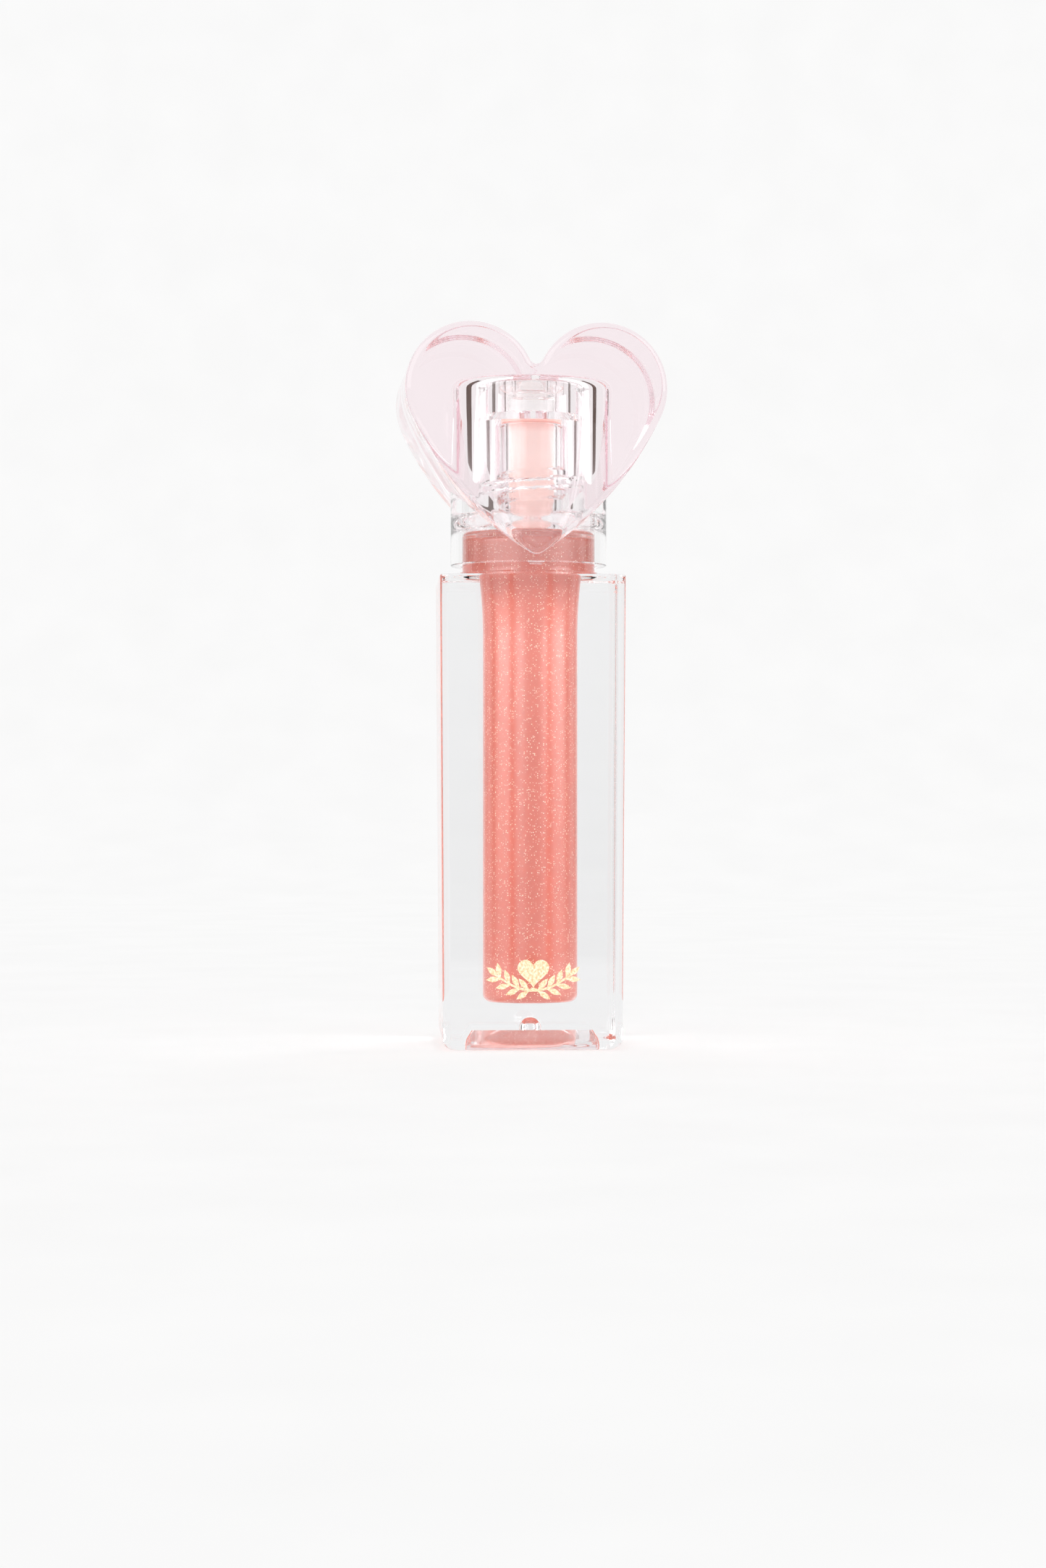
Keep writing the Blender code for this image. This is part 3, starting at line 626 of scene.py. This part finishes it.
edge_turn = np.linspace(0, np.pi / 2, 9)
edge = np.stack([HEART_EDGE * (1 - np.cos(edge_turn)), HEART_EDGE * (1 - np.sin(edge_turn))], axis=1)
rings = []
for side in (-1, 1):
    for inset, back in edge[::side]:
        outline = heart_outline(inset, 24)
        y = np.full(len(outline), side * (HEART_DEPTH / 2 - back))
        rings.append(np.stack([outline[:, 0], y, outline[:, 1]], axis=1))
heart = skin("heart", closed_turn(np.asarray(rings)), crease=28)
bore = arc_points((POCKET - CAP_CORNER, POCKET_TOP - CAP_CORNER), CAP_CORNER, 90, 0, 14).tolist()
bore = skin("pocket", [round_ring(r, z) for r, z in [*bore, (POCKET, BOTTLE_HEIGHT - 20 * MM)]])
cut = heart.modifiers.new("pocket", "BOOLEAN")
cut.operation, cut.object, cut.solver = "DIFFERENCE", bore, "EXACT"
graph = bpy.context.evaluated_depsgraph_get()
whole = bpy.data.meshes.new_from_object(heart.evaluated_get(graph))
bpy.data.objects.remove(bore)
bpy.data.objects.remove(heart)
heart = finished("heart", whole, 28)
heart.data.materials.clear()
PINK_DEPTH = ((0.86, 0.38, 0.52), 10.0)
heart.data.materials.append(clear_plastic("pink_acrylic", (0.995, 0.985, 0.99), 1.49, tint=PINK_DEPTH))
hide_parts("heart_cap")
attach(heart, "cap")

# Studio: a white sheet swept up behind the tube, and a soft box on each side of the camera, dimmer on the
# cap than on the bottle. A dark flag on each side draws the dark lines in the clear plastic, and a dim room
# in front of the tube shades its flat walls.
SHEET_HALF = 0.44
SHEET_BACK = 0.6
SHEET_HIGH = 0.9
SWEEP_BEND = 0.2
run = [(y, 0.0) for y in (-0.6, -0.3, 0.0, 0.3)]
for t in np.linspace(0, np.pi / 2, 13):
    run.append((SHEET_BACK - SWEEP_BEND * (1 - math.sin(t)), SWEEP_BEND * (1 - math.cos(t))))
run += [(SHEET_BACK, SHEET_HIGH)]
run = np.array(run)
across = np.linspace(-SHEET_HALF, SHEET_HALF, 3)
grid = np.stack([np.tile(across, len(run)), np.repeat(run[:, 0], 3), np.repeat(run[:, 1], 3)], axis=1)
i = np.arange(len(run) - 1)[:, None] * 3 + np.arange(2)[None, :]
quads = np.stack([i, i + 1, i + 4, i + 3], axis=-1).reshape(-1, 4)
sheet_mesh = bpy.data.meshes.new("sweep")
sheet_mesh.from_pydata(grid.tolist(), [], quads.tolist())
sheet_mesh.shade_smooth()
sweep = bpy.data.objects.new("sweep", sheet_mesh)
bpy.context.scene.collection.objects.link(sweep)
paper, tree, shader = shader_of("white_sheet", (0.3, 0.3, 0.3), 0.9)
shader.inputs["Specular IOR Level"].default_value = 0.0
shader.inputs["Emission Color"].default_value = (1.0, 1.0, 1.0, 1.0)
shader.inputs["Emission Strength"].default_value = 0.68
fleck = noise(tree, 60, 2.0)
shades = ramp(tree, fleck.outputs["Fac"], [(0.3, (0.29, 0.29, 0.29)), (0.7, (0.31, 0.31, 0.31))])
tree.links.new(shades.outputs["Color"], shader.inputs["Base Color"])
sweep.data.materials.append(paper)


def card(name, near, far, line, look, steps=12):
    """A sheet swept along a line of (reach, z) points between two bearings, in degrees from straight behind
    the tube to the left: the pieces reflect and refract it, and the camera does not see it directly."""
    a = np.radians(np.linspace(near, far, steps + 1))
    points = [(-reach * math.sin(t), reach * math.cos(t), z) for reach, z in line for t in a]
    i = np.arange(len(line) - 1)[:, None] * (steps + 1) + np.arange(steps)[None, :]
    quads = np.stack([i, i + 1, i + steps + 2, i + steps + 1], axis=-1).reshape(-1, 4).tolist()
    mesh = bpy.data.meshes.new(name)
    mesh.from_pydata(points, [], quads)
    mesh.materials.append(look)
    obj = bpy.data.objects.new(name, mesh)
    bpy.context.scene.collection.objects.link(obj)
    obj.visible_camera = obj.visible_diffuse = obj.visible_shadow = False
    return obj


ROOM_LIGHT = (1.0, 0.997, 0.993, 1.0)
ROOM_BRIGHT, ROOM_DIM = 0.9, 0.08
dark_card, tree, shader = shader_of("dark_card", (0.11, 0.07, 0.055), 0.9)
shader.inputs["Specular IOR Level"].default_value = 0.0
flag_line = [(0.25, 0.003), (0.25, 0.25)]
card("left_flag", 62, 80, flag_line, dark_card)
card("right_flag", -69, -81, flag_line, dark_card)
room_card, tree, shader = shader_of("room_card", (0.02, 0.02, 0.02), 0.9)
shader.inputs["Specular IOR Level"].default_value = 0.0
shader.inputs["Emission Color"].default_value = ROOM_LIGHT
rise = climb(tree, 0.012, 0.085, ROOM_DIM, ROOM_BRIGHT)
place = add(tree, "ShaderNodeTexCoord")
length = add(tree, "ShaderNodeVectorMath", operation="LENGTH")
tree.links.new(place.outputs["Object"], length.inputs["Vector"])
fade = add(tree, "ShaderNodeMapRange", From_Min=0.12, From_Max=0.145, To_Min=ROOM_BRIGHT, To_Max=ROOM_DIM)
tree.links.new(length.outputs["Value"], fade.inputs["Value"])
glow = add(tree, "ShaderNodeMath", operation="MAXIMUM")
tree.links.new(rise, glow.inputs[0])
tree.links.new(fade.outputs["Result"], glow.inputs[1])
tree.links.new(glow.outputs["Value"], shader.inputs["Emission Strength"])
room = card("room", 162, 208, [(0.12, 0.001), (0.42, 0.001), (0.42, 0.088)], room_card)
room.visible_transmission = False


BOX_REACH, BOX_HEIGHT, BOX_LIFT = 0.5, 0.5, 0.34
LEFT, RIGHT = (124, 0.7), (-112, 0.42)


def soft_box(name, bearing, width, power, pieces):
    """A flat lamp at a bearing from straight behind the tube, in degrees to the left, that faces the tube and
    lights only the pieces named."""
    lamp = bpy.data.lights.new(name, "AREA")
    lamp.shape = "RECTANGLE"
    lamp.size, lamp.size_y, lamp.energy = width, BOX_HEIGHT, power
    a = math.radians(bearing)
    spot = Vector((-BOX_REACH * math.sin(a), BOX_REACH * math.cos(a), BOX_LIFT))
    obj = bpy.data.objects.new(name, lamp)
    look_at = (Vector((0, 0, 0.04)) - spot).to_track_quat("-Z", "Y")
    obj.matrix_world = Matrix.Translation(spot) @ look_at.to_matrix().to_4x4()
    bpy.context.scene.collection.objects.link(obj)
    lit = bpy.data.collections.new("lit_by_" + name)
    for piece in pieces:
        lit.objects.link(piece)
    obj.light_linking.receiver_collection = lit


cap_pieces = [inner_cap, heart, wand, tip, seal]
bottle_pieces = [bottle, gloss, foil]
soft_box("left_cap_box", *LEFT, 1.5, cap_pieces)
soft_box("right_cap_box", *RIGHT, 0.95, cap_pieces)
soft_box("left_bottle_box", *LEFT, 4.8, bottle_pieces)
soft_box("right_bottle_box", *RIGHT, 4.3, bottle_pieces)
world = bpy.data.worlds.new("room")
world.use_nodes = True
world.node_tree.nodes["Background"].inputs["Color"].default_value = ROOM_LIGHT
world.node_tree.nodes["Background"].inputs["Strength"].default_value = ROOM_BRIGHT
bpy.context.scene.world = world
bpy.context.scene.view_settings.view_transform = "Standard"
cycles = bpy.context.scene.cycles
cycles.max_bounces, cycles.glossy_bounces, cycles.transmission_bounces = 40, 24, 32
cycles.blur_glossy = 0.0

# Camera: level, at about the middle of the bottle's height, and slightly round to the left of its front, so
# that a sliver of the heart's left side shows.
BEARING = math.radians(-3.0)
REACH = 0.335
CAMERA_HEIGHT = 0.02867
CAMERA_LEFT = 0.0006
camera_data = bpy.data.cameras.new("camera")
camera_data.lens = 69.6
camera_data.sensor_width = 36.0
camera_data.clip_start, camera_data.clip_end = 0.01, 5.0
camera = bpy.data.objects.new("camera", camera_data)
back = Vector((math.sin(BEARING), -math.cos(BEARING), 0))
right = Vector((math.cos(BEARING), math.sin(BEARING), 0))
at = back * REACH - right * CAMERA_LEFT + Vector((0, 0, CAMERA_HEIGHT))
camera.matrix_world = Matrix.Translation(at) @ (-back).to_track_quat("-Z", "Y").to_matrix().to_4x4()
bpy.context.scene.collection.objects.link(camera)
bpy.context.scene.camera = camera
